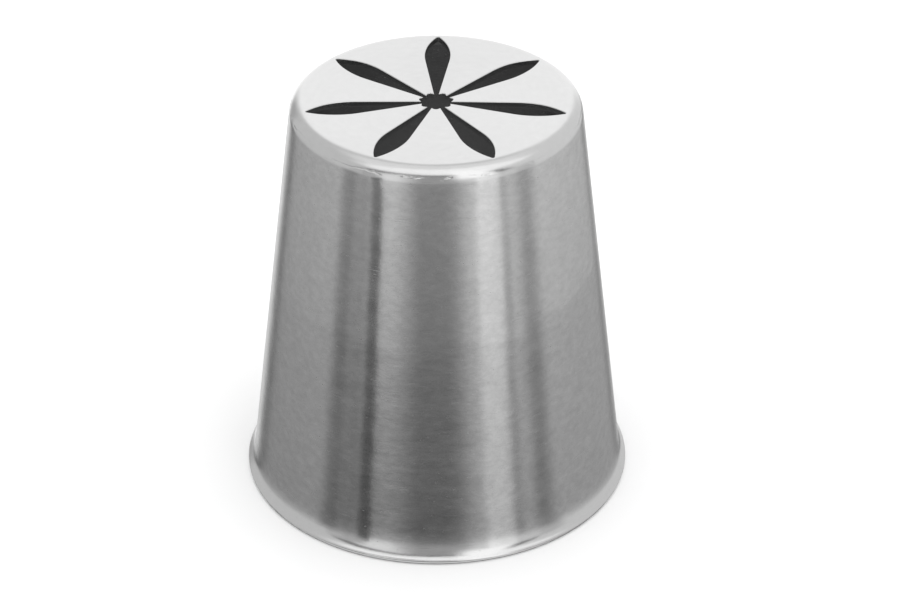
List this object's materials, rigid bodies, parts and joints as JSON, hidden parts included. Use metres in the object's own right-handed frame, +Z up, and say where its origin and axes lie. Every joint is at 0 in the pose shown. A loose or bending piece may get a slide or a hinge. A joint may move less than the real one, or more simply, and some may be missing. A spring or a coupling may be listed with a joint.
{
  "type": "piping nozzle",
  "caption": "Drawn stainless-steel flower piping nozzle: tapered cup with a flared open rim and a flat face cut with pointed petals around a scalloped centre hole.",
  "frame": {"origin": "centre of the nozzle's axis in the plane that the open rim rests on", "axes": "+Z up along the axis from the open rim to the flower face, +Y along the petal that points away from the pictured side, +X to that side's right"},
  "size_m": [0.0322, 0.0322, 0.0344],
  "materials": {
    "stainless_sheet": "satin drawn stainless steel, slightly mottled, with fine scratches"
  },
  "bodies": {
    "root": {"nozzle_shell": "stainless_sheet"}
  },
  "joints": []
}
